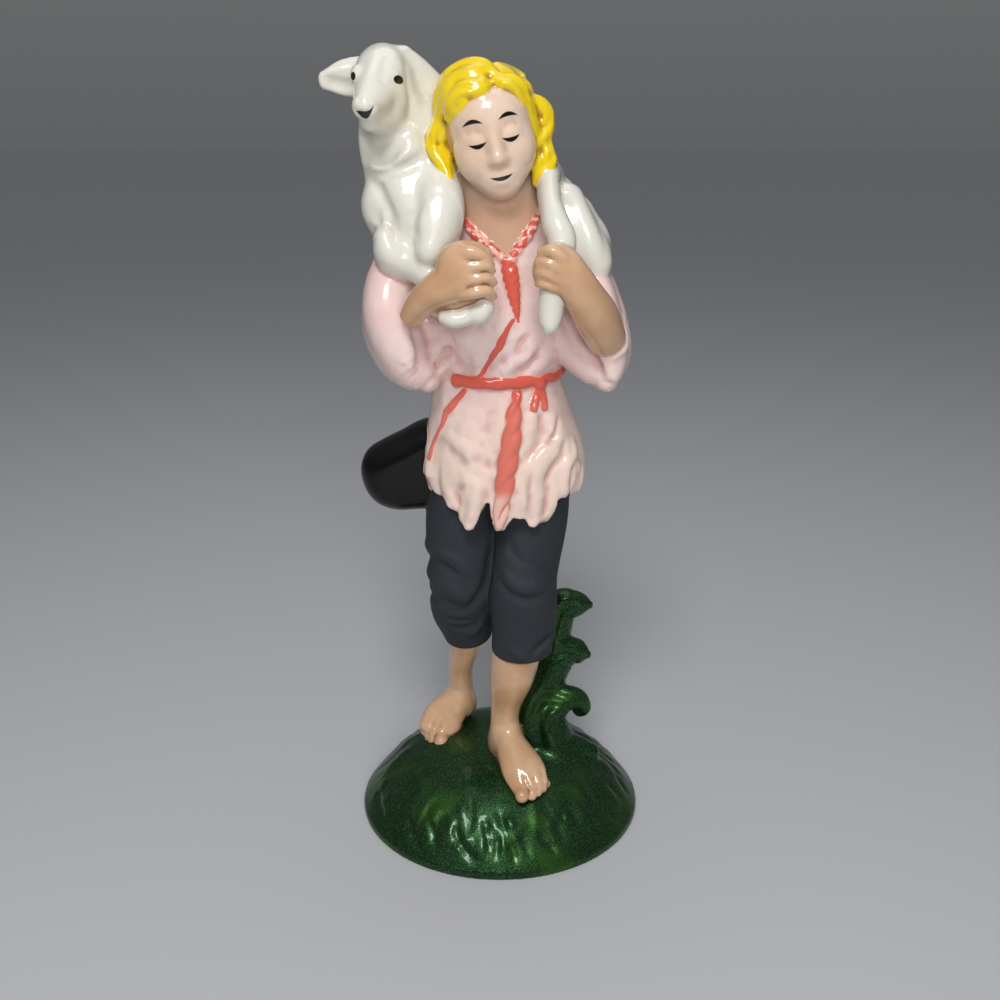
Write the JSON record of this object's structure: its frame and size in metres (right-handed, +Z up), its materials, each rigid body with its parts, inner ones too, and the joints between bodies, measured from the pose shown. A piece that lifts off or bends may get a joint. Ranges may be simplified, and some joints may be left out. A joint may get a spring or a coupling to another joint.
{
  "type": "nativity figurine",
  "caption": "Glazed, painted ceramic figurine of a shepherd boy walking down a grassy mound with a lamb across his shoulders.",
  "frame": {"origin": "centre of the mound's oval underside, on the table", "axes": "+Z up, the boy faces -Y, +X to the right of a viewer in front of him"},
  "size_m": [0.116, 0.102, 0.2884],
  "materials": {
    "painted_ceramic": "hand-painted under a clear gloss glaze, matt on the breeches"
  },
  "bodies": {
    "root": {"shepherd_with_lamb": "painted_ceramic"}
  },
  "joints": []
}
